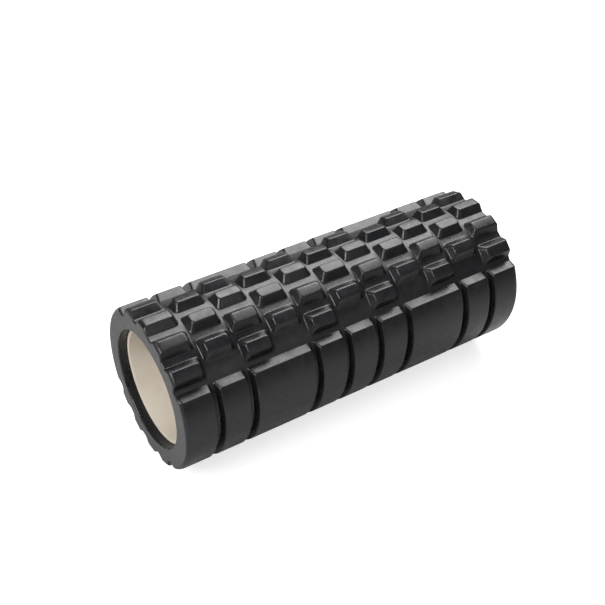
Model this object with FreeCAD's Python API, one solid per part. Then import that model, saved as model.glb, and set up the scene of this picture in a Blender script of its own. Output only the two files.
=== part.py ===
import FreeCAD, Part
import math
import os

# Foam roller: a moulded EVA sleeve with a tread of ribs and blocks, bonded on an open rigid tube.
# Frame: X runs along the roller, the origin is the middle of its axis, +Z is up.
# Lengths are in millimetres and angles in degrees. Angles round the axis start at -Y and grow
# towards +Z. The roller stands on a row of block tops, at -90 degrees.

# Overall size
roller_length = 330.0
outer_diameter = 137.0

# Sleeve, from the outside in
tread_depth = 6.6          # from the block tops down to the groove floor
foam_wall = 11.8           # solid foam under the groove floor
end_edge_radius = 1.0      # rounded edge of each end face where a groove runs out
end_round_radius = 5.0     # rounding of the blocks and ribs at the roller's two ends
end_round_offset = 0.15    # the round meets the tops and the end face at a faint angle, not edge to edge
lip_radius = 1.5           # rounded edge where each end face turns into the bore

# Glue and core tube
glue_thickness = 0.3
glue_margin = 6.0          # the glue stops this far inside each end of the tube
tube_wall = 3.0
tube_recess = 7.8          # the tube ends this far inside each end of the sleeve
tube_edge_chamfer = 0.5

# Block pattern: columns along the axis, rows round it
column_count = 11
zone_count = 2             # block zones, with a rib zone between each two
row_step = 22.0            # angle from one block to the next in a column
full_rows = 4              # blocks in an even column; an odd column has one fewer
column_gap = 3.2           # groove floor between columns of blocks
row_gap = 6.0              # groove floor between blocks of a column

# Blocks
block_end_run = 3.2        # how far an end wall leans in over the tread depth
block_side_run = 4.3       # the same for a side wall
block_corner_radius = 3.0
block_top_radius = 1.2

# Ribs: how many columns each one spans, from one end of the roller to the other
rib_spans = (1, 1, 2, 1, 1, 1, 2, 1, 1)
rib_gap = 4.4              # groove floor between ribs
rib_wall_run = 1.5         # how far a side wall leans in over the tread depth
rib_end_gap = 4.2          # groove floor between a rib's end and the nearest block
rib_end_run = 5.3          # how far the sloped end leans in over the tread depth
rib_edge_radius = 1.5      # rounding of a rib's top and corners

root_depth = 2.0           # blocks and ribs reach this far into the solid foam, so they are one piece

# Worked out
outer_radius = outer_diameter / 2
floor_radius = outer_radius - tread_depth
bore_radius = floor_radius - foam_wall
tube_radius = bore_radius - glue_thickness
tube_bore_radius = tube_radius - tube_wall
tube_length = roller_length - 2 * tube_recess
glue_length = tube_length - 2 * glue_margin
column_pitch = roller_length / column_count
root_radius = floor_radius - root_depth
zone_turn = 360.0 / zone_count
lowest_row = -90.0
first_zone = lowest_row - row_step / 2          # middle of a block zone
block_base_width = math.radians(row_step) * floor_radius - row_gap
block_top_width = block_base_width - 2 * block_side_run
half_length = roller_length / 2
last_block_edge = (full_rows - 1) * row_step / 2 + math.degrees(block_base_width / 2 / floor_radius)
rib_end_angle = zone_turn / 2 - last_block_edge - math.degrees(rib_end_gap / floor_radius)

axis = FreeCAD.Vector(1, 0, 0)
origin = FreeCAD.Vector(0, 0, 0)


def axial_cylinder(radius, length):
    start = FreeCAD.Vector(-length / 2, 0, 0)
    return Part.makeCylinder(radius, length, start, axis)


def turned(shape, angle):
    """Turns a piece of tread, made at the top of the roller, to an angle round the axis."""
    copy = shape.copy()
    copy.rotate(origin, axis, 90.0 - angle)
    return copy


def circle_edges(shape, radius):
    """The round edges of a shape that have the given radius."""
    found = []
    for edge in shape.Edges:
        if isinstance(edge.Curve, Part.Circle) and abs(edge.Curve.Radius - radius) < 1e-6:
            found.append(edge)
    return found


def reach_out(point):
    """A point's distance from the roller's axis."""
    return math.hypot(point.y, point.z)


def climbing_edges(shape):
    """The edges that climb from a tread piece's root to its top, where two walls meet."""
    found = []
    for edge in shape.Edges:
        reaches = [reach_out(vertex.Point) for vertex in edge.Vertexes]
        if min(reaches) < floor_radius < max(reaches):
            found.append(edge)
    return found


def top_edges(shape):
    """The outline of a tread piece's top."""
    found = []
    for edge in shape.Edges:
        reaches = [reach_out(vertex.Point) for vertex in edge.Vertexes]
        if min(reaches) > floor_radius:
            found.append(edge)
    return found


def foot_ends(first, span, gap):
    """Where a tread piece over these columns meets the groove floor at its two ends.

    At an end of the roller it runs on past the end face, to be cut flush with it.
    """
    left = first * column_pitch - half_length + gap / 2
    right = (first + span) * column_pitch - half_length - gap / 2
    if first == 0:
        left = -half_length - tread_depth
    if first + span == column_count:
        right = half_length + tread_depth
    return left, right


def end_envelope():
    """The room the tread may fill: as long as the roller, rounded off towards its two end faces."""
    middle_x = half_length + end_round_offset - end_round_radius
    middle_z = outer_radius + end_round_offset - end_round_radius
    drop = end_round_radius - end_round_offset
    lift = math.sqrt(end_round_radius ** 2 - drop ** 2)
    slant = end_round_radius * math.sqrt(0.5)
    edges = []
    for side in (1, -1):
        low = FreeCAD.Vector(side * half_length, 0, middle_z + lift)
        bend = FreeCAD.Vector(side * (middle_x + slant), 0, middle_z + slant)
        high = FreeCAD.Vector(side * middle_x, 0, middle_z + end_round_radius)
        above = FreeCAD.Vector(side * middle_x, 0, outer_diameter)
        centre = FreeCAD.Vector(side * half_length, 0, 0)
        edges += [
            Part.LineSegment(centre, low).toShape(),
            Part.Arc(low, bend, high).toShape(),
            Part.LineSegment(high, above).toShape(),
        ]
    span = FreeCAD.Vector(middle_x, 0, 0)
    crown = FreeCAD.Vector(0, 0, outer_diameter)
    edges.append(Part.LineSegment(crown + span, crown - span).toShape())
    ends = FreeCAD.Vector(half_length, 0, 0)
    edges.append(Part.LineSegment(ends, ends * -1).toShape())
    profile = Part.Face(Part.Wire(Part.__sortEdges__(edges)))
    return profile.revolve(origin, axis, 360.0)


def end_flush(piece):
    """Cuts a tread piece off at the end faces of the roller, with a rounded shoulder."""
    if abs(piece.BoundBox.Center.x) + piece.BoundBox.XLength / 2 < half_length:
        return piece
    return piece.common(end_envelope())


def make_block(column):
    """One block of a column, at the top of the roller, with leaning walls and a flat top."""
    left, right = foot_ends(column, 1, column_gap)
    spread = root_depth / tread_depth
    half_top_width = block_top_width / 2
    half_root_width = half_top_width + block_side_run * (1 + spread)
    block = Part.makeWedge(
        left - block_end_run * spread, root_radius, -half_root_width,
        -half_top_width, left + block_end_run,
        right + block_end_run * spread, outer_radius, half_root_width,
        half_top_width, right - block_end_run,
    )
    block.rotate(origin, axis, 90.0)
    corner = min(block_corner_radius, block_top_width / 3)
    block = block.makeFillet(corner, climbing_edges(block))
    return end_flush(block.makeFillet(block_top_radius, top_edges(block)))


def make_rib(first, span):
    """One rib at the top of the roller: an arc of a ring whose walls and ends lean in."""
    left, right = foot_ends(first, span, rib_gap)
    spread = rib_wall_run * root_depth / tread_depth
    profile = Part.makePolygon([
        FreeCAD.Vector(left - spread, 0, root_radius),
        FreeCAD.Vector(left + rib_wall_run, 0, outer_radius),
        FreeCAD.Vector(right - rib_wall_run, 0, outer_radius),
        FreeCAD.Vector(right + spread, 0, root_radius),
        FreeCAD.Vector(left - spread, 0, root_radius),
    ])
    arc = Part.Face(profile)
    arc.rotate(origin, axis, -rib_end_angle)
    ring = arc.revolve(origin, axis, 2 * rib_end_angle)
    rib = ring.common(rib_wedge())
    rib = rib.makeFillet(rib_edge_radius, climbing_edges(rib) + top_edges(rib))
    return end_flush(rib)


def rib_wedge():
    """What is left between the two sloped ends of a rib."""
    end = math.radians(rib_end_angle)
    foot = FreeCAD.Vector(0, floor_radius * math.sin(end), floor_radius * math.cos(end))
    outward = FreeCAD.Vector(0, math.sin(end), math.cos(end))
    inward = FreeCAD.Vector(0, -math.cos(end), math.sin(end))
    slope = outward * tread_depth + inward * rib_end_run
    low = foot - slope * (2 * root_depth / tread_depth)
    high = foot + slope * (outer_radius / slope.z)
    points = [low, high]
    for point in (high, low):
        points.append(FreeCAD.Vector(0, -point.y, point.z))
    points.append(low)
    side = Part.Face(Part.makePolygon(points))
    side.translate(FreeCAD.Vector(-roller_length, 0, 0))
    return side.extrude(FreeCAD.Vector(2 * roller_length, 0, 0))


def make_sleeve_body():
    """The solid foam under the tread: a plain tube with rounded end edges."""
    body = axial_cylinder(floor_radius, roller_length).cut(axial_cylinder(bore_radius, roller_length))
    body = body.makeFillet(end_edge_radius, circle_edges(body, floor_radius))
    return body.makeFillet(lip_radius, circle_edges(body, bore_radius))


def make_blocks():
    blocks = []
    for column in range(column_count):
        block = make_block(column)
        rows = full_rows - column % 2
        for zone in range(zone_count):
            for row in range(rows):
                angle = first_zone + zone * zone_turn + (row - (rows - 1) / 2) * row_step
                blocks.append(turned(block, angle))
    return blocks


def make_ribs():
    ribs = []
    first = 0
    for span in rib_spans:
        rib = make_rib(first, span)
        for zone in range(zone_count):
            ribs.append(turned(rib, first_zone + (zone + 0.5) * zone_turn))
        first += span
    return ribs


def make_foam_sleeve():
    body = make_sleeve_body()
    return body.multiFuse(make_blocks() + make_ribs()).removeSplitter()


def make_core_tube():
    tube = axial_cylinder(tube_radius, tube_length).cut(axial_cylinder(tube_bore_radius, tube_length))
    rims = circle_edges(tube, tube_radius) + circle_edges(tube, tube_bore_radius)
    return tube.makeChamfer(tube_edge_chamfer, rims)


def make_adhesive_film():
    return axial_cylinder(bore_radius, glue_length).cut(axial_cylinder(tube_radius, glue_length))


makers = {
    "foam_sleeve": make_foam_sleeve,
    "core_tube": make_core_tube,
    "adhesive_film": make_adhesive_film,
}

os.makedirs("parts", exist_ok=True)
for name, maker in makers.items():
    shape = maker()
    shape.exportStep("parts/" + name + ".step")
    print(name, "solids", len(shape.Solids), "valid", shape.isValid(), "volume", round(shape.Volume))
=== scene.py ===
import math
import bpy
import numpy as np
from mathutils import Matrix, Vector


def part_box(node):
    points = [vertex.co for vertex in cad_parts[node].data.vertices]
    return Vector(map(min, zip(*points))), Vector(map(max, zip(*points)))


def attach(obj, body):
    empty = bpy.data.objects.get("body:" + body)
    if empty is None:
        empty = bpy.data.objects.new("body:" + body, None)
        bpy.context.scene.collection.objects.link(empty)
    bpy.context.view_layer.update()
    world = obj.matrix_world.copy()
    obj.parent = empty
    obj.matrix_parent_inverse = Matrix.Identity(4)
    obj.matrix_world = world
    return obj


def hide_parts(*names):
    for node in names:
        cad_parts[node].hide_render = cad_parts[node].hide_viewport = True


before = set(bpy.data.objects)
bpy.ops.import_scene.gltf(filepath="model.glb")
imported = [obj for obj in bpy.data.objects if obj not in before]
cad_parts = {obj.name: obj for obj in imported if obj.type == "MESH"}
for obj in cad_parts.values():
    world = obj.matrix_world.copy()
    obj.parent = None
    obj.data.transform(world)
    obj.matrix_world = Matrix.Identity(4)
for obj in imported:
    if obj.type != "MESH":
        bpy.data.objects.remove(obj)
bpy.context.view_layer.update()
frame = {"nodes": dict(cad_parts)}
print("frame loaded:", ", ".join(frame["nodes"]))

mm = 0.001
sleeveLow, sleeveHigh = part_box("foam_sleeve")
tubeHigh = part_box("core_tube")[1]
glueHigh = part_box("adhesive_film")[1]
rollerEnd = sleeveHigh.x  # the origin is the middle of the roller's axis
outerRadius = sleeveHigh.z
foamBore = glueHigh.z
tubeEnd = tubeHigh.x
tubeRadius = tubeHigh.z


def addNode(tree, kind, values=None, **settings):
    node = tree.nodes.new(kind)
    for name, value in settings.items():
        setattr(node, name, value)
    for name, value in (values or {}).items():
        node.inputs[name].default_value = value
    return node


def plug(tree, source, target):
    tree.links.new(source, target)


def doMath(tree, operation, *terms):
    # a Math node whose terms are numbers or sockets
    node = addNode(tree, "ShaderNodeMath", operation=operation)
    for place, term in enumerate(terms):
        if isinstance(term, bpy.types.NodeSocket):
            plug(tree, term, node.inputs[place])
        else:
            node.inputs[place].default_value = term
    return node.outputs[0]


def namedInputs(tree, sockets):
    for name, kind, value in sockets:
        socket = tree.interface.new_socket(name, in_out="INPUT", socket_type=kind)
        if value is not None:
            socket.default_value = value


tread = {
    "columns": 11,               # the rib places at the end of this list suit 11
    "zones": 2,                  # block zones, with a rib zone between each two
    "rowStep": 22.0,             # degrees from block to block round the roller
    "fullRows": 4,
    "lowestRow": -90.0,          # this row of blocks carries the roller
    "depth": 6.6 * mm,
    "columnGap": 3.2 * mm,
    "rowGap": 6.0 * mm,
    "blockEndRun": 3.2 * mm,     # how far a block's end walls lean in
    "blockSideRun": 4.3 * mm,
    "blockCorners": (3.2 * mm, 2.3 * mm),  # at the foot and at the top
    "ribGap": 4.4 * mm,
    "ribWallRun": 1.5 * mm,
    "ribEndGap": 4.2 * mm,
    "ribEndRun": 5.3 * mm,
    "ribCorners": (1.8 * mm, 1.7 * mm),
    "footRounding": 1.5 * mm,
    "blockCrown": 1.5 * mm,      # rounding from a block's walls to its top
    "ribCrown": 0.9 * mm,
    "endRounding": 1.0 * mm,     # where a groove runs out at the end face
    "shoulder": 3.6 * mm,        # rounding of the blocks and ribs towards the end face
    "lipRounding": 1.5 * mm,
    "waviness": 0.12 * mm,       # moulded foam is never quite true
    "wavinessScale": 45.0,
    "wideRibs": (2.5, 5.0, 2),   # middle of the first, step to the next, how many, in columns from 0
    "sideRibs": (1.0, 8.0, 2),
    "middleRibs": (4.0, 1.0, 3),
}
columnCells = 12  # mesh cells along one column, the same in every tile so that tiles join
blockCells = 12   # and round the roller, over one row of blocks
ribCells = 50
cornerCells = 3   # in half of a rounded corner
footSteps = 3
crownSteps = 4
shoulderSteps = 6
bendSteps = 4
topFrame = 0.7 * mm            # a narrow frame round each flat top keeps its edge crisp
joinDistance = 0.02 * mm
cutDepth = 0.25 * mm           # faces this near the end face are trimmed foam, not skin
faceRings = (0.3, 0.6, 0.85)   # mesh rings on the end face, as shares of its width
boreRings = (0.8, 0.4, 0.0)    # and in the bore, as shares of the way to the end
floorRadius = outerRadius - tread["depth"]
columnPitch = 2 * rollerEnd / tread["columns"]
rowAngle = math.radians(tread["rowStep"])
zoneAngle = 2 * math.pi / tread["zones"]
blockArc = tread["fullRows"] * rowAngle
ribArc = zoneAngle - blockArc


def wallStations(run, foot, crown):
    # from the floor up a leaning wall to its top, as (how far in, how high)
    depth = tread["depth"]
    turn = math.atan2(depth, run)
    stations = []
    for step in range(footSteps + 1):
        angle = turn * step / footSteps
        reach = foot * (math.sin(angle) - math.tan(turn / 2))
        stations.append((reach, foot * (1 - math.cos(angle))))
    for step in range(crownSteps, -1, -1):
        angle = turn * step / crownSteps
        reach = run + crown * (math.tan(turn / 2) - math.sin(angle))
        stations.append((reach, depth - crown * (1 - math.cos(angle))))
    return stations


def sideStops(half, corner, cells):
    # places along one side of a ring: close together round its corners
    inner = half - corner
    left = np.linspace(-half, -inner, cornerCells + 1)
    middle = np.linspace(-inner, inner, cells - 2 * cornerCells + 1)
    right = np.linspace(inner, half, cornerCells + 1)
    return np.concatenate([left, middle[1:-1], right])


def roundCorners(along, across, corner):
    # presses the corners of a square grid into round ones; also says which wall each point faces
    x, y = np.meshgrid(along, across, indexing="ij")
    innerX = np.clip(x, corner - along[-1], along[-1] - corner)
    innerY = np.clip(y, corner - across[-1], across[-1] - corner)
    outX, outY = x - innerX, y - innerY
    length = np.hypot(outX, outY)
    some = np.where(length > 1e-12, length, 1.0)
    shrink = np.where(length > 1e-12, np.maximum(abs(outX), abs(outY)) / some, 1.0)
    facing = np.where(length > 1e-12, (outX / some) ** 2, 0.5)
    return innerX + outX * shrink, innerY + outY * shrink, facing


def aroundTop(x, y, height):
    # bends a flat plan, its y measured along the groove floor, over the top of the roller
    radius = floorRadius + height
    angle = y / floorRadius
    return np.stack([x, radius * np.sin(angle), radius * np.cos(angle)], axis=-1)


def ringOrder(cellsX, cellsY):
    order = [(i, 0) for i in range(cellsX)]
    order += [(cellsX, j) for j in range(cellsY)]
    order += [(i, cellsY) for i in range(cellsX, 0, -1)]
    order += [(0, j) for j in range(cellsY, 0, -1)]
    return order


def gridFaces(cellsX, cellsY, first=0):
    faces = []
    for i in range(cellsX):
        for j in range(cellsY):
            corner = first + i * (cellsY + 1) + j
            faces.append((corner, corner + cellsY + 1, corner + cellsY + 2, corner + 1))
    return faces


def makeTile(name, points, faces):
    mesh = bpy.data.meshes.new(name)
    mesh.from_pydata([tuple(point) for point in points], [], faces)
    return bpy.data.objects.new(name, mesh)


def raisedTile(tileLength, tileArc, cells, foot, top, runs, corners, crown):
    # a stretch of groove floor with one block or rib on it: rings up its walls, then its top
    # the last list returned holds the points across the middle of the tile, over the block
    cellsX, cellsY = cells
    order = ringOrder(cellsX, cellsY)
    foot = np.array(foot)
    lean = foot - np.array(top)
    walls = [wallStations(run, tread["footRounding"], crown) for run in runs]
    x, y = np.meshgrid(np.linspace(-tileLength / 2, tileLength / 2, cellsX + 1),
                       np.linspace(-tileArc / 2, tileArc / 2, cellsY + 1), indexing="ij")
    rings = [aroundTop(x, y, np.zeros_like(x))]
    for step in range(len(walls[0])):
        inward = [walls[side][step][0] / runs[side] * lean[side] for side in (0, 1)]
        rise = min(max(inward[0] / lean[0], 0), 1)
        corner = corners[0] + (corners[1] - corners[0]) * rise
        along = sideStops(foot[0] - inward[0], corner, cellsX)
        across = sideStops(foot[1] - inward[1], corner, cellsY)
        x, y, facing = roundCorners(along, across, corner)
        height = facing * walls[0][step][1] + (1 - facing) * walls[1][step][1]
        rings.append(aroundTop(x, y, height))
    x, y, facing = roundCorners(sideStops(along[-1] - topFrame, corner, cellsX),
                                sideStops(across[-1] - topFrame, corner, cellsY), corner)
    cap = aroundTop(x, y, np.full_like(x, tread["depth"]))
    points = []
    for ring in rings:
        points += [ring[place] for place in order]
    first = len(points)
    points += list(cap.reshape(-1, 3))
    faces = []
    loops = [list(range(k * len(order), (k + 1) * len(order))) for k in range(len(rings))]
    loops.append([first + i * (cellsY + 1) + j for i, j in order])
    for outer, inner in zip(loops[:-1], loops[1:]):
        for step in range(len(order)):
            after = (step + 1) % len(order)
            faces.append((outer[step], outer[after], inner[after], inner[step]))
    faces += gridFaces(cellsX, cellsY, first)
    middle = cellsX // 2
    near = [loop[order.index((middle, 0))] for loop in loops[:-1]]
    far = [loop[order.index((middle, cellsY))] for loop in loops[:-1]]
    crossing = near + [first + middle * (cellsY + 1) + j for j in range(cellsY + 1)] + far[::-1]
    return points, faces, crossing


def blockShape(columns, gap):
    # a block over this many columns, its foot half a gap short of the tile's ends
    floorWidth = rowAngle * floorRadius - tread["rowGap"]
    topWidth = floorWidth - 2 * tread["blockSideRun"]
    footLength = (columns * columnPitch - gap) / 2
    topArc = math.asin(topWidth / 2 / outerRadius) * floorRadius
    return raisedTile(
        columns * columnPitch, rowAngle * floorRadius, (columnCells * columns, blockCells),
        (footLength, floorWidth / 2), (footLength - tread["blockEndRun"], topArc),
        (tread["blockEndRun"], tread["blockSideRun"]), tread["blockCorners"], tread["blockCrown"])


def ribShape(columns, gap):
    # a rib over this many columns, from one block zone to the next
    blockEdge = (tread["fullRows"] - 1) / 2 * rowAngle + (rowAngle - tread["rowGap"] / floorRadius) / 2
    footAngle = zoneAngle / 2 - blockEdge - tread["ribEndGap"] / floorRadius
    topAngle = footAngle - math.atan2(tread["ribEndRun"], outerRadius)
    footLength = (columns * columnPitch - gap) / 2
    return raisedTile(
        columns * columnPitch, ribArc * floorRadius, (columnCells * columns, ribCells),
        (footLength, footAngle * floorRadius), (footLength - tread["ribWallRun"], topAngle * floorRadius),
        (tread["ribWallRun"], tread["ribEndRun"]), tread["ribCorners"], tread["ribCrown"])


def floorTile():
    # bare groove floor, half a row wide, where an odd column of blocks meets its rib
    cellsX, cellsY = columnCells, blockCells // 2
    width = rowAngle * floorRadius / 2
    x, y = np.meshgrid(np.linspace(-columnPitch / 2, columnPitch / 2, cellsX + 1),
                       np.linspace(-width / 2, width / 2, cellsY + 1), indexing="ij")
    points = aroundTop(x, y, np.zeros_like(x)).reshape(-1, 3)
    return makeTile("floorTile", points, gridFaces(cellsX, cellsY))


def endTile(name, shape):
    # the outermost column: one half of a block or rib two columns long, with a rounded shoulder,
    # then down the end face, round the lip and along half of the bore
    points, faces, crossing = shape
    points = np.array(points)
    edge, lip, shoulder = tread["endRounding"], tread["lipRounding"], tread["shoulder"]
    kept = [face for face in faces if points[list(face), 0].max() < 1e-9]
    drawnIn = np.clip(1 + 2 * points[:, 0] / columnPitch, 0, 1)  # makes room for the shoulder
    points[:, 0] += rollerEnd - shoulder * drawnIn
    outline = points[crossing, 1:]
    reach = np.linalg.norm(outline, axis=1)
    direction = outline / reach[:, None]
    along = np.gradient(outline, axis=0)
    outward = np.stack([-along[:, 1], along[:, 0]], axis=1)
    outward /= np.linalg.norm(outward, axis=1)[:, None]
    outward *= np.sign((outward * outline).sum(axis=1))[:, None]
    outward[[0, -1]] = direction[[0, -1]]
    low = 1 - np.clip((reach - floorRadius) / tread["depth"], 0, 1)  # one on the floor, none on a top
    stations = []
    for step in range(1, shoulderSteps + 1):
        angle = math.pi / 2 * step / shoulderSteps
        place = rollerEnd - shoulder * (1 - math.sin(angle))
        limit = outerRadius - shoulder * (1 - math.cos(angle))
        past = max(place - rollerEnd + edge, 0) / edge
        eased = edge * (1 - math.sqrt(max(1 - past ** 2, 0)))
        ring = direction * np.minimum(reach, limit)[:, None] - outward * (eased * low)[:, None]
        stations.append((place, ring))
    faceTop, faceFoot = stations[-1][1], direction * (foamBore + lip)
    for part in faceRings:
        stations.append((rollerEnd, faceTop + (faceFoot - faceTop) * part))
    for step in range(bendSteps + 1):
        angle = math.pi / 2 * step / bendSteps
        lipReach = foamBore + lip * (1 - math.sin(angle))
        stations.append((rollerEnd - lip * (1 - math.cos(angle)), direction * lipReach))
    for place in [tubeEnd] + [rollerEnd * part for part in boreRings]:
        stations.append((place, direction * foamBore))
    row = list(crossing)
    points = list(points)
    for x, ring in stations:
        following = list(range(len(points), len(points) + len(ring)))
        points += [(x, y, z) for y, z in ring]
        kept += [(row[k], following[k], following[k + 1], row[k + 1]) for k in range(len(ring) - 1)]
        row = following
    used = sorted({corner for face in kept for corner in face})
    number = {corner: order for order, corner in enumerate(used)}
    return makeTile(name, [points[corner] for corner in used],
                    [tuple(number[corner] for corner in face) for face in kept])


def wholeParts(tree, count, size):
    # how many whole sizes a count holds; the half keeps the rounding safe
    return doMath(tree, "FLOOR", doMath(tree, "DIVIDE", doMath(tree, "ADD", count, 0.5), size))


def patternGroup():
    # copies one tile over columns, rows and zones; a turned copy faces the other end of the roller
    tree = bpy.data.node_groups.new("copiesRoundRoller", "GeometryNodeTree")
    namedInputs(tree, (
        ("Tile", "NodeSocketObject", None),
        ("First column", "NodeSocketFloat", 0.0), ("Column step", "NodeSocketFloat", 1.0),
        ("Column count", "NodeSocketInt", 1), ("Row count", "NodeSocketInt", 1),
        ("Row spacing", "NodeSocketFloat", 0.0), ("Turned", "NodeSocketFloat", 0.0),
        ("Column pitch", "NodeSocketFloat", 0.03), ("Columns", "NodeSocketInt", 11),
        ("Zones", "NodeSocketInt", 2), ("Zone middle", "NodeSocketFloat", 0.0),
    ))
    tree.interface.new_socket("Geometry", in_out="OUTPUT", socket_type="NodeSocketGeometry")
    given = addNode(tree, "NodeGroupInput").outputs
    index = addNode(tree, "GeometryNodeInputIndex").outputs[0]
    row = doMath(tree, "MODULO", index, given["Row count"])
    line = wholeParts(tree, index, given["Row count"])
    column = doMath(tree, "MODULO", line, given["Column count"])
    zone = wholeParts(tree, line, given["Column count"])
    place = doMath(tree, "MULTIPLY_ADD", column, given["Column step"], given["First column"])
    centre = doMath(tree, "MULTIPLY", doMath(tree, "SUBTRACT", given["Columns"], 1.0), 0.5)
    x = doMath(tree, "MULTIPLY", doMath(tree, "SUBTRACT", place, centre), given["Column pitch"])
    middleRow = doMath(tree, "MULTIPLY", doMath(tree, "SUBTRACT", given["Row count"], 1.0), 0.5)
    rowTurn = doMath(tree, "MULTIPLY", doMath(tree, "SUBTRACT", row, middleRow), given["Row spacing"])
    zoneTurn = doMath(tree, "DIVIDE", doMath(tree, "MULTIPLY", zone, 2 * math.pi), given["Zones"])
    turn = doMath(tree, "ADD", doMath(tree, "ADD", rowTurn, zoneTurn), given["Zone middle"])
    sign = doMath(tree, "MULTIPLY_ADD", given["Turned"], -2.0, 1.0)
    spin = doMath(tree, "MULTIPLY", doMath(tree, "SUBTRACT", math.pi / 2, turn), sign)
    count = doMath(tree, "MULTIPLY", doMath(tree, "MULTIPLY", given["Row count"], given["Column count"]),
                   given["Zones"])
    dots = addNode(tree, "GeometryNodePoints")
    plug(tree, count, dots.inputs["Count"])
    spot = addNode(tree, "ShaderNodeCombineXYZ")
    plug(tree, x, spot.inputs["X"])
    plug(tree, spot.outputs[0], dots.inputs["Position"])
    swing = addNode(tree, "ShaderNodeCombineXYZ")
    plug(tree, spin, swing.inputs["X"])
    plug(tree, doMath(tree, "MULTIPLY", given["Turned"], math.pi), swing.inputs["Z"])
    tile = addNode(tree, "GeometryNodeObjectInfo")
    plug(tree, given["Tile"], tile.inputs["Object"])
    copies = addNode(tree, "GeometryNodeInstanceOnPoints")
    plug(tree, dots.outputs[0], copies.inputs["Points"])
    plug(tree, tile.outputs["Geometry"], copies.inputs["Instance"])
    plug(tree, swing.outputs[0], copies.inputs["Rotation"])
    result = addNode(tree, "NodeGroupOutput")
    plug(tree, copies.outputs[0], result.inputs[0])
    return tree


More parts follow.
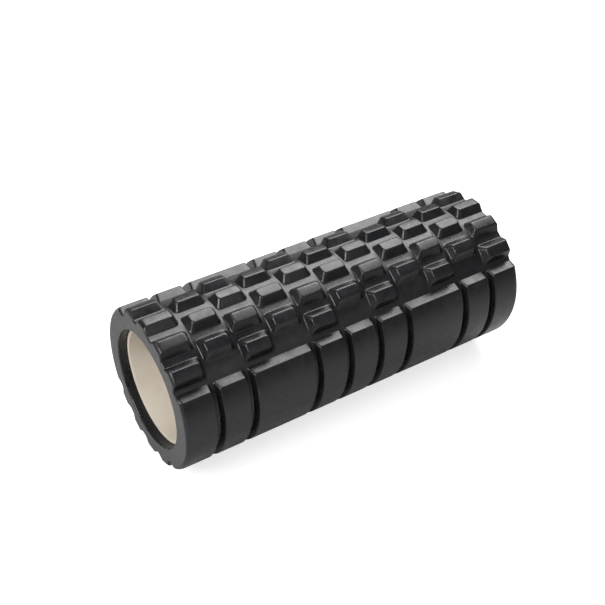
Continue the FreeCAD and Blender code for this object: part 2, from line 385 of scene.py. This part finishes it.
def sleeveTree():
    # the whole sleeve: tread tiles and end tiles, joined into one closed skin
    tree = bpy.data.node_groups.new("treadSleeve", "GeometryNodeTree")
    namedInputs(tree, (
        ("Block tile", "NodeSocketObject", None), ("Rib tile", "NodeSocketObject", None),
        ("Wide rib tile", "NodeSocketObject", None), ("Floor tile", "NodeSocketObject", None),
        ("Block end tile", "NodeSocketObject", None), ("Rib end tile", "NodeSocketObject", None),
        ("Column pitch", "NodeSocketFloat", 0.03), ("Columns", "NodeSocketInt", 11),
        ("Zones", "NodeSocketInt", 2), ("Zone middle", "NodeSocketFloat", 0.0),
        ("Row step", "NodeSocketFloat", 0.4), ("Full rows", "NodeSocketInt", 4),
        ("Roller end", "NodeSocketFloat", 0.165), ("Waviness", "NodeSocketFloat", 0.0001),
        ("Skin", "NodeSocketMaterial", None), ("Cut foam", "NodeSocketMaterial", None),
    ))
    tree.interface.new_socket("Geometry", in_out="OUTPUT", socket_type="NodeSocketGeometry")
    given = addNode(tree, "NodeGroupInput").outputs
    group = patternGroup()
    evenColumns = doMath(tree, "MULTIPLY", doMath(tree, "SUBTRACT", given["Columns"], 3.0), 0.5)
    oddColumns = doMath(tree, "MULTIPLY", doMath(tree, "SUBTRACT", given["Columns"], 1.0), 0.5)
    fewerRows = doMath(tree, "SUBTRACT", given["Full rows"], 1.0)
    sideSpacing = doMath(tree, "MULTIPLY", given["Row step"],
                         doMath(tree, "SUBTRACT", given["Full rows"], 0.5))
    ribMiddle = doMath(tree, "ADD", given["Zone middle"], zoneAngle / 2)

    def copies(tile, middle, **values):
        # a keyword such as row_count sets the socket "Row count"
        node = addNode(tree, "GeometryNodeGroup", node_tree=group)
        for name in ("Column pitch", "Columns", "Zones"):
            plug(tree, given[name], node.inputs[name])
        plug(tree, given[tile], node.inputs["Tile"])
        plug(tree, middle, node.inputs["Zone middle"])
        for name, value in values.items():
            socket = node.inputs[name.replace("_", " ").capitalize()]
            if isinstance(value, bpy.types.NodeSocket):
                plug(tree, value, socket)
            else:
                socket.default_value = value
        return node.outputs[0]

    blockMiddle = given["Zone middle"]
    treads = addNode(tree, "GeometryNodeJoinGeometry")
    parts = [
        copies("Block tile", blockMiddle, first_column=2.0, column_step=2.0, column_count=evenColumns,
               row_count=given["Full rows"], row_spacing=given["Row step"]),
        copies("Block tile", blockMiddle, first_column=1.0, column_step=2.0, column_count=oddColumns,
               row_count=fewerRows, row_spacing=given["Row step"]),
        copies("Floor tile", blockMiddle, first_column=1.0, column_step=2.0, column_count=oddColumns,
               row_count=2, row_spacing=sideSpacing),
    ]
    for tile, name in (("Wide rib tile", "wideRibs"), ("Rib tile", "sideRibs"), ("Rib tile", "middleRibs")):
        first, step, count = tread[name]
        parts.append(copies(tile, ribMiddle, first_column=first, column_step=step, column_count=count))
    for part in parts:
        plug(tree, part, treads.inputs[0])
    # end tiles already lie at the roller's end, so the column they take is the middle one
    ends = addNode(tree, "GeometryNodeJoinGeometry")
    centreColumn = doMath(tree, "MULTIPLY", doMath(tree, "SUBTRACT", given["Columns"], 1.0), 0.5)
    for turned in (0.0, 1.0):
        blocks = copies("Block end tile", blockMiddle, first_column=centreColumn, turned=turned,
                        row_count=given["Full rows"], row_spacing=given["Row step"])
        ribs = copies("Rib end tile", ribMiddle, first_column=centreColumn, turned=turned)
        plug(tree, blocks, ends.inputs[0])
        plug(tree, ribs, ends.inputs[0])

    where = addNode(tree, "GeometryNodeInputPosition").outputs[0]
    split = addNode(tree, "ShaderNodeSeparateXYZ")
    plug(tree, where, split.inputs[0])
    distance = doMath(tree, "ABSOLUTE", split.outputs["X"])
    whole = addNode(tree, "GeometryNodeJoinGeometry")
    plug(tree, treads.outputs[0], whole.inputs[0])
    plug(tree, ends.outputs[0], whole.inputs[0])
    flat = addNode(tree, "GeometryNodeRealizeInstances")
    plug(tree, whole.outputs[0], flat.inputs[0])
    welded = addNode(tree, "GeometryNodeMergeByDistance", {"Distance": joinDistance})
    plug(tree, flat.outputs[0], welded.inputs["Geometry"])

    # a slow, fixed noise keeps moulded edges from looking machined
    noise = addNode(tree, "ShaderNodeTexNoise", {"Scale": tread["wavinessScale"], "Detail": 1.0})
    plug(tree, where, noise.inputs["Vector"])
    centred = addNode(tree, "ShaderNodeVectorMath", operation="SUBTRACT")
    plug(tree, noise.outputs["Color"], centred.inputs[0])
    centred.inputs[1].default_value = (0.5, 0.5, 0.5)
    scaled = addNode(tree, "ShaderNodeVectorMath", operation="SCALE")
    plug(tree, centred.outputs[0], scaled.inputs[0])
    plug(tree, doMath(tree, "MULTIPLY", given["Waviness"], 2.0), scaled.inputs["Scale"])
    wavy = addNode(tree, "GeometryNodeSetPosition")
    plug(tree, welded.outputs[0], wavy.inputs["Geometry"])
    plug(tree, scaled.outputs[0], wavy.inputs["Offset"])

    smooth = addNode(tree, "GeometryNodeSetShadeSmooth")
    plug(tree, wavy.outputs[0], smooth.inputs["Geometry"])
    solid = addNode(tree, "GeometryNodeRealizeInstances")
    plug(tree, smooth.outputs[0], solid.inputs[0])
    skin = addNode(tree, "GeometryNodeSetMaterial")
    plug(tree, solid.outputs[0], skin.inputs["Geometry"])
    plug(tree, given["Skin"], skin.inputs["Material"])
    cut = addNode(tree, "GeometryNodeSetMaterial")
    nearEnd = doMath(tree, "GREATER_THAN", distance,
                     doMath(tree, "SUBTRACT", given["Roller end"], cutDepth))
    plug(tree, skin.outputs[0], cut.inputs["Geometry"])
    plug(tree, nearEnd, cut.inputs["Selection"])
    plug(tree, given["Cut foam"], cut.inputs["Material"])
    result = addNode(tree, "NodeGroupOutput")
    plug(tree, cut.outputs[0], result.inputs[0])
    return tree


def bakeTree(name, tree, values):
    # runs a node tree on an empty mesh and returns a plain mesh object
    carrier = bpy.data.objects.new(name + "Carrier", bpy.data.meshes.new(name + "Carrier"))
    bpy.context.collection.objects.link(carrier)
    modifier = carrier.modifiers.new("nodes", "NODES")
    modifier.node_group = tree
    for item in tree.interface.items_tree:
        if item.item_type == "SOCKET" and item.in_out == "INPUT" and item.name in values:
            modifier[item.identifier] = values[item.name]
    graph = bpy.context.evaluated_depsgraph_get()
    mesh = bpy.data.meshes.new_from_object(carrier.evaluated_get(graph))
    carrier.modifiers.remove(modifier)
    bpy.data.objects.remove(carrier)
    mesh.name = name
    # an empty material slot that comes with the mesh is dropped
    for place in reversed(range(len(mesh.materials))):
        if mesh.materials[place] is None:
            mesh.materials.pop(index=place)
    piece = bpy.data.objects.new(name, mesh)
    bpy.context.collection.objects.link(piece)
    return piece


def makeSleeve(skin, cutFoam):
    tiles = {
        "Block tile": makeTile("blockTile", *blockShape(1, tread["columnGap"])[:2]),
        "Rib tile": makeTile("ribTile", *ribShape(1, tread["ribGap"])[:2]),
        "Wide rib tile": makeTile("wideRibTile", *ribShape(2, tread["ribGap"])[:2]),
        "Floor tile": floorTile(),
        "Block end tile": endTile("blockEndTile", blockShape(2, tread["columnGap"])),
        "Rib end tile": endTile("ribEndTile", ribShape(2, tread["ribGap"])),
    }
    values = {
        "Column pitch": columnPitch, "Columns": tread["columns"], "Zones": tread["zones"],
        "Zone middle": math.radians(tread["lowestRow"]) - rowAngle / 2,
        "Row step": rowAngle, "Full rows": tread["fullRows"], "Roller end": rollerEnd,
        "Waviness": tread["waviness"],
        "Skin": skin, "Cut foam": cutFoam,
    }
    values.update(tiles)
    sleeve = bakeTree("foamSleeve", sleeveTree(), values)
    for tile in tiles.values():
        bpy.data.objects.remove(tile)
    print("foam sleeve:", len(sleeve.data.polygons), "faces")
    return sleeve


tube = {
    "wall": 3.0 * mm,
    "rimRounding": 0.7 * mm,
    "segments": 192,
    "rings": 6,        # mesh rings along half of the bore, and one more along the whole outside
    "ringsEnd": 0.9,   # the outermost of them, as a share of half the length
}


def makeTube(material):
    # a lathe round X: the outside, one rounded rim, the inside, the other rim
    inner, rim = tubeRadius - tube["wall"], tube["rimRounding"]
    profile = []
    for middle, start in ((tubeRadius - rim, 0), (inner + rim, 1)):
        for step in range(bendSteps + 1):
            angle = math.pi / 2 * (start + step / bendSteps)
            profile.append((tubeEnd - rim + rim * math.sin(angle), middle + rim * math.cos(angle)))
    last = tubeEnd * tube["ringsEnd"]
    half = profile + [(x, inner) for x in np.linspace(last, 0, tube["rings"])]
    outside = [(x, tubeRadius) for x in np.linspace(-last, last, tube["rings"] + 1)]
    loop = outside + half + [(-x, radius) for x, radius in reversed(half[:-1])]
    count, segments = len(loop), tube["segments"]
    points = []
    for step in range(segments):
        angle = 2 * math.pi * step / segments
        for x, radius in loop:
            points.append((x, radius * math.sin(angle), radius * math.cos(angle)))
    faces = []
    for step in range(segments):
        after = (step + 1) % segments
        for k in range(count):
            following = (k + 1) % count
            faces.append((step * count + k, step * count + following,
                          after * count + following, after * count + k))
    mesh = bpy.data.meshes.new("coreTube")
    mesh.from_pydata(points, [], faces)
    mesh.polygons.foreach_set("use_smooth", [True] * len(mesh.polygons))
    mesh.materials.append(material)
    piece = bpy.data.objects.new("coreTube", mesh)
    bpy.context.collection.objects.link(piece)
    print("core tube:", len(mesh.polygons), "faces")
    return piece


def newGroup(name, inputs, outputs):
    tree = bpy.data.node_groups.new(name, "ShaderNodeTree")
    namedInputs(tree, inputs)
    for output in outputs:
        tree.interface.new_socket(output, in_out="OUTPUT", socket_type="NodeSocketFloat")
    return tree, addNode(tree, "NodeGroupInput").outputs, addNode(tree, "NodeGroupOutput").inputs


def grainGroup():
    # fine moulded grain over a slower unevenness, as one height
    tree, given, result = newGroup(
        "mouldedGrain",
        (("Vector", "NodeSocketVector", None), ("Grain scale", "NodeSocketFloat", 1500.0),
         ("Swell scale", "NodeSocketFloat", 150.0), ("Swell share", "NodeSocketFloat", 0.5)),
        ("Height", "Swell"))
    grain = addNode(tree, "ShaderNodeTexNoise", {"Detail": 3.0, "Roughness": 0.6})
    swell = addNode(tree, "ShaderNodeTexNoise", {"Detail": 2.0, "Roughness": 0.5})
    for node, scale in ((grain, "Grain scale"), (swell, "Swell scale")):
        plug(tree, given["Vector"], node.inputs["Vector"])
        plug(tree, given[scale], node.inputs["Scale"])
    blend = addNode(tree, "ShaderNodeMix", data_type="FLOAT")
    plug(tree, given["Swell share"], blend.inputs[0])
    plug(tree, grain.outputs[0], blend.inputs[2])
    plug(tree, swell.outputs[0], blend.inputs[3])
    plug(tree, blend.outputs[0], result["Height"])
    plug(tree, swell.outputs[0], result["Swell"])
    return tree


def marksGroup():
    # pale handling marks and dust: a thin patchy mask
    tree, given, result = newGroup(
        "handlingMarks",
        (("Vector", "NodeSocketVector", None), ("Scale", "NodeSocketFloat", 40.0),
         ("Amount", "NodeSocketFloat", 0.3)),
        ("Mask",))
    patch = addNode(tree, "ShaderNodeTexNoise", {"Detail": 6.0, "Roughness": 0.7, "Distortion": 1.2})
    speck = addNode(tree, "ShaderNodeTexNoise", {"Scale": 900.0, "Detail": 2.0})
    plug(tree, given["Vector"], patch.inputs["Vector"])
    plug(tree, given["Scale"], patch.inputs["Scale"])
    plug(tree, given["Vector"], speck.inputs["Vector"])
    wide = addNode(tree, "ShaderNodeMapRange", {"From Min": 0.52, "From Max": 0.72})
    fine = addNode(tree, "ShaderNodeMapRange", {"From Min": 0.45, "From Max": 0.7})
    plug(tree, patch.outputs[0], wide.inputs[0])
    plug(tree, speck.outputs[0], fine.inputs[0])
    specks = doMath(tree, "MULTIPLY_ADD", fine.outputs[0], 0.6, 0.4)
    both = doMath(tree, "MULTIPLY", wide.outputs[0], specks)
    plug(tree, doMath(tree, "MULTIPLY", both, given["Amount"]), result["Mask"])
    return tree


def edgeHighlightGroup():
    # a mask of the edges, where the surface turns sharply outwards: there the skin is lightened, partly as
    # rubbed wear, partly as a painted highlight
    tree, given, result = newGroup(
        "edgeWearAndHighlight", (("From", "NodeSocketFloat", 0.52), ("To", "NodeSocketFloat", 0.6)), ("Mask",))
    shape = addNode(tree, "ShaderNodeNewGeometry")
    ramp = addNode(tree, "ShaderNodeMapRange")
    plug(tree, shape.outputs["Pointiness"], ramp.inputs[0])
    plug(tree, given["From"], ramp.inputs["From Min"])
    plug(tree, given["To"], ramp.inputs["From Max"])
    plug(tree, ramp.outputs[0], result["Mask"])
    return tree


groups = {"grain": grainGroup(), "marks": marksGroup(), "edges": edgeHighlightGroup()}


def newFinish(name, shine):
    material = bpy.data.materials.new(name)
    material.use_nodes = True
    tree = material.node_tree
    tree.nodes.clear()
    shader = addNode(tree, "ShaderNodeBsdfPrincipled", shine)
    plug(tree, shader.outputs[0], addNode(tree, "ShaderNodeOutputMaterial").inputs[0])
    where = addNode(tree, "ShaderNodeTexCoord").outputs["Object"]
    return material, tree, shader, where


def useGroup(tree, name, where=None, **values):
    node = addNode(tree, "ShaderNodeGroup", node_tree=groups[name])
    for key, value in values.items():
        node.inputs[key.replace("_", " ").capitalize()].default_value = value
    if where is not None:
        plug(tree, where, node.inputs["Vector"])
    return node.outputs


def useGrain(tree, where, look):
    return useGroup(tree, "grain", where, grain_scale=look["grainScale"],
                    swell_scale=look["swellScale"], swell_share=look["swellShare"])


def useMarks(tree, where, look):
    return useGroup(tree, "marks", where, scale=look["dustScale"], amount=look["dustAmount"])


def mixColours(tree, factor, first, second):
    # counted from 0, the colour inputs of a Mix node are 6 and 7, and its colour output is 2
    node = addNode(tree, "ShaderNodeMix", data_type="RGBA")
    plug(tree, factor, node.inputs[0])
    for place, colour in ((6, first), (7, second)):
        if isinstance(colour, bpy.types.NodeSocket):
            plug(tree, colour, node.inputs[place])
        else:
            node.inputs[place].default_value = (*colour, 1.0)
    return node.outputs[2]


def spread(tree, value, low, high, fromLow=0.3, fromHigh=0.7):
    # most of a noise lies between 0.3 and 0.7
    node = addNode(tree, "ShaderNodeMapRange",
                   {"From Min": fromLow, "From Max": fromHigh, "To Min": low, "To Max": high})
    plug(tree, value, node.inputs[0])
    return node.outputs[0]


def addBump(tree, shader, height, distance):
    bump = addNode(tree, "ShaderNodeBump", {"Distance": distance, "Strength": 1.0})
    plug(tree, height, bump.inputs["Height"])
    plug(tree, bump.outputs[0], shader.inputs["Normal"])


skinLook = {
    "dark": (0.0045, 0.005, 0.006),
    "pale": (0.009, 0.0095, 0.011),
    # edge colour: rubbed wear together with a painted highlight along the edges
    "wornEdgeHighlight": (0.035, 0.036, 0.039),
    "dust": (0.11, 0.11, 0.11),
    "gloss": (0.24, 0.37),        # roughness from slick to dull patches
    "relief": 0.16 * mm,
    "grainScale": 2200.0,
    "swellScale": 130.0,
    "swellShare": 0.55,
    "dustScale": 26.0,
    "dustAmount": 0.16,
    "edgeHighlightShare": 0.5,
}


def moulded():
    # the closed skin of moulded foam: near black, satin, faintly uneven; its edges are lightened by rubbed
    # wear and a painted highlight
    material, tree, shader, where = newFinish("mouldedFoamSkin", {"Specular IOR Level": 0.5})
    grain = useGrain(tree, where, skinLook)
    marks = useMarks(tree, where, skinLook)
    edges = useGroup(tree, "edges")
    base = mixColours(tree, grain["Swell"], skinLook["dark"], skinLook["pale"])
    # lightens the edges: partly rubbed wear, partly a painted highlight
    edgeHighlightMask = doMath(tree, "MULTIPLY", edges["Mask"], skinLook["edgeHighlightShare"])
    wornEdgeHighlight = mixColours(tree, edgeHighlightMask, base, skinLook["wornEdgeHighlight"])
    dusty = mixColours(tree, marks["Mask"], wornEdgeHighlight, skinLook["dust"])
    plug(tree, dusty, shader.inputs["Base Color"])
    low, high = skinLook["gloss"]
    rough = doMath(tree, "ADD", spread(tree, grain["Swell"], low, high), marks["Mask"])
    plug(tree, rough, shader.inputs["Roughness"])
    addBump(tree, shader, grain["Height"], skinLook["relief"])
    return material


cutLook = {
    "cell": (0.058, 0.057, 0.059),
    "wall": (0.11, 0.109, 0.112),
    "cellScale": 1300.0,
    "relief": 0.25 * mm,
    "grainScale": 3000.0,
    "swellScale": 220.0,
    "swellShare": 0.4,
    "dustScale": 60.0,
    "dustAmount": 0.2,
    "roughness": (0.6, 0.75),
}


def trimmed():
    # the trimmed end of the sleeve, where the foam's cells are cut open
    material, tree, shader, where = newFinish("trimmedFoamEnd", {"Specular IOR Level": 0.35})
    cells = addNode(tree, "ShaderNodeTexVoronoi", {"Scale": cutLook["cellScale"]})
    plug(tree, where, cells.inputs["Vector"])
    grain = useGrain(tree, where, cutLook)
    marks = useMarks(tree, where, cutLook)
    tone = spread(tree, cells.outputs["Distance"], 0.0, 1.0, 0.1, 0.6)
    base = mixColours(tree, tone, cutLook["cell"], cutLook["wall"])
    plug(tree, mixColours(tree, marks["Mask"], base, skinLook["dust"]), shader.inputs["Base Color"])
    plug(tree, spread(tree, grain["Swell"], *cutLook["roughness"]), shader.inputs["Roughness"])
    height = doMath(tree, "ADD", cells.outputs["Distance"], grain["Height"])
    addBump(tree, shader, height, cutLook["relief"])
    return material


tubeLook = {
    "warm": (0.62, 0.55, 0.45),
    "pale": (0.70, 0.645, 0.56),
    "dust": (0.45, 0.40, 0.34),
    "drawScale": (6.0, 900.0, 900.0),  # draw lines run along the tube
    "relief": 0.03 * mm,
    "grainScale": 1800.0,
    "swellScale": 60.0,
    "swellShare": 0.5,
    "dustScale": 35.0,
    "dustAmount": 0.35,
    "roughness": (0.38, 0.5),
}


def drawnPlastic():
    # extruded rigid plastic: pale and warm, with faint draw lines along the tube
    material, tree, shader, where = newFinish("drawnTubePlastic", {"Specular IOR Level": 0.45})
    stretch = addNode(tree, "ShaderNodeMapping", {"Scale": tubeLook["drawScale"]})
    plug(tree, where, stretch.inputs["Vector"])
    lines = addNode(tree, "ShaderNodeTexNoise", {"Scale": 1.0, "Detail": 3.0})
    plug(tree, stretch.outputs[0], lines.inputs["Vector"])
    grain = useGrain(tree, where, tubeLook)
    marks = useMarks(tree, where, tubeLook)
    base = mixColours(tree, grain["Swell"], tubeLook["warm"], tubeLook["pale"])
    plug(tree, mixColours(tree, marks["Mask"], base, tubeLook["dust"]), shader.inputs["Base Color"])
    plug(tree, spread(tree, lines.outputs[0], *tubeLook["roughness"]), shader.inputs["Roughness"])
    addBump(tree, shader, doMath(tree, "ADD", lines.outputs[0], grain["Height"]), tubeLook["relief"])
    return material


glueLook = {
    "thin": (0.42, 0.30, 0.13),
    "thick": (0.30, 0.19, 0.07),
    "relief": 0.1 * mm,
    "grainScale": 900.0,
    "swellScale": 90.0,
    "swellShare": 0.6,
    "brushScale": (60.0, 400.0, 400.0),  # brush strokes run along the tube
    "roughness": (0.3, 0.55),
}


def curedGlue():
    # brushed contact cement: amber, with glossy and dull strokes
    material, tree, shader, where = newFinish("curedContactCement", {"Specular IOR Level": 0.5})
    brush = addNode(tree, "ShaderNodeMapping", {"Scale": glueLook["brushScale"]})
    plug(tree, where, brush.inputs["Vector"])
    strokes = addNode(tree, "ShaderNodeTexNoise", {"Scale": 1.0, "Detail": 4.0})
    plug(tree, brush.outputs[0], strokes.inputs["Vector"])
    grain = useGrain(tree, where, glueLook)
    base = mixColours(tree, grain["Swell"], glueLook["thin"], glueLook["thick"])
    plug(tree, base, shader.inputs["Base Color"])
    plug(tree, spread(tree, strokes.outputs[0], *glueLook["roughness"]), shader.inputs["Roughness"])
    addBump(tree, shader, strokes.outputs[0], glueLook["relief"])
    return material


floorLook = {
    "dull": (0.52, 0.52, 0.52),
    "bright": (0.56, 0.56, 0.56),
    "grainScale": 60.0,
    "swellScale": 3.0,
    "swellShare": 0.5,
    "roughness": (0.7, 0.8),
    "glow": 0.72,
}


def studioFloor():
    # white paper; a glow that only the camera sees thins its shadows
    material, tree, shader, where = newFinish("studioFloor", {"Specular IOR Level": 0.2})
    grain = useGrain(tree, where, floorLook)
    base = mixColours(tree, grain["Swell"], floorLook["dull"], floorLook["bright"])
    plug(tree, base, shader.inputs["Base Color"])
    plug(tree, spread(tree, grain["Swell"], *floorLook["roughness"]), shader.inputs["Roughness"])
    shader.inputs["Emission Color"].default_value = (1.0, 1.0, 1.0, 1.0)
    seen = addNode(tree, "ShaderNodeLightPath").outputs["Is Camera Ray"]
    plug(tree, doMath(tree, "MULTIPLY", seen, floorLook["glow"]), shader.inputs["Emission Strength"])
    return material


stage = {
    "floorHalf": 4.0,      # half the floor's width
    "surroundings": 0.16,  # light from all round, as the roller sees it
    "backdrop": 1.0,       # the same, as the camera sees it
}

view = {
    "azimuth": -34.56,   # degrees round the roller, from -Y
    "elevation": 39.11,
    "roll": 2.26,
    "distance": 0.8848,
    "aimRight": -0.01476,  # the aim point, from the roller's middle
    "aimUp": 0.0152,
    "lens": 61.31,
    "sensor": 36.0,
}


def viewAxes():
    # the camera's right, up and backward directions
    turn, tilt, roll = (math.radians(view[name]) for name in ("azimuth", "elevation", "roll"))
    back = Vector((math.sin(turn) * math.cos(tilt), -math.cos(turn) * math.cos(tilt), math.sin(tilt)))
    right = Vector((0, 0, 1)).cross(back).normalized()
    up = back.cross(right)
    tiltedRight = right * math.cos(roll) + up * math.sin(roll)
    tiltedUp = up * math.cos(roll) - right * math.sin(roll)
    return tiltedRight, tiltedUp, back


def placeCamera():
    right, up, back = viewAxes()
    lens = bpy.data.cameras.new("camera")
    lens.lens = view["lens"]
    lens.sensor_width = view["sensor"]
    camera = bpy.data.objects.new("camera", lens)
    bpy.context.collection.objects.link(camera)
    spot = right * view["aimRight"] + up * view["aimUp"] + back * view["distance"]
    turned = Matrix((right, up, back)).transposed().to_4x4()
    camera.matrix_world = Matrix.Translation(spot) @ turned
    bpy.context.scene.camera = camera


def placeFloor(material):
    half, level = stage["floorHalf"], sleeveLow.z
    mesh = bpy.data.meshes.new("floor")
    corners = [(side * half, end * half, level) for side, end in ((-1, -1), (1, -1), (1, 1), (-1, 1))]
    mesh.from_pydata(corners, [], [(0, 1, 2, 3)])
    mesh.materials.append(material)
    floor = bpy.data.objects.new("floor", mesh)
    bpy.context.collection.objects.link(floor)


lights = {
    # name: (position, width, height, watts)
    "overhead": ((0.6, 0.62, 1.1), 1.3, 1.0, 29.0),
    "leftFill": ((-1.15, -0.35, 1.0), 0.8, 0.7, 21.0),
    "frontFill": ((0.3, -1.5, 0.9), 1.0, 0.6, 2.0),
}


def placeLights():
    for name, (spot, width, height, power) in lights.items():
        lamp = bpy.data.lights.new(name, "AREA")
        lamp.shape = "RECTANGLE"
        lamp.size = width
        lamp.size_y = height
        lamp.energy = power
        holder = bpy.data.objects.new(name, lamp)
        bpy.context.collection.objects.link(holder)
        holder.location = spot
        holder.rotation_euler = Vector(spot).to_track_quat("Z", "Y").to_euler()
    world = bpy.data.worlds.new("studio")
    world.use_nodes = True
    sky = world.node_tree.nodes["Background"]
    sky.inputs["Color"].default_value = (1.0, 1.0, 1.0, 1.0)
    seen = addNode(world.node_tree, "ShaderNodeLightPath").outputs["Is Camera Ray"]
    extra = stage["backdrop"] - stage["surroundings"]
    strength = doMath(world.node_tree, "MULTIPLY_ADD", seen, extra, stage["surroundings"])
    plug(world.node_tree, strength, sky.inputs["Strength"])
    bpy.context.scene.world = world
    bpy.context.scene.view_settings.view_transform = "Standard"


placeCamera()
placeFloor(studioFloor())
placeLights()
print("stage ready")

foamSleeve = makeSleeve(moulded(), trimmed())
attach(foamSleeve, "root")
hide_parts("foam_sleeve")

coreTube = makeTube(drawnPlastic())
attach(coreTube, "root")
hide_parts("core_tube")

glueFilm = frame["nodes"]["adhesive_film"]
glueFilm.data.materials.clear()
glueFilm.data.materials.append(curedGlue())
print("pieces ready")
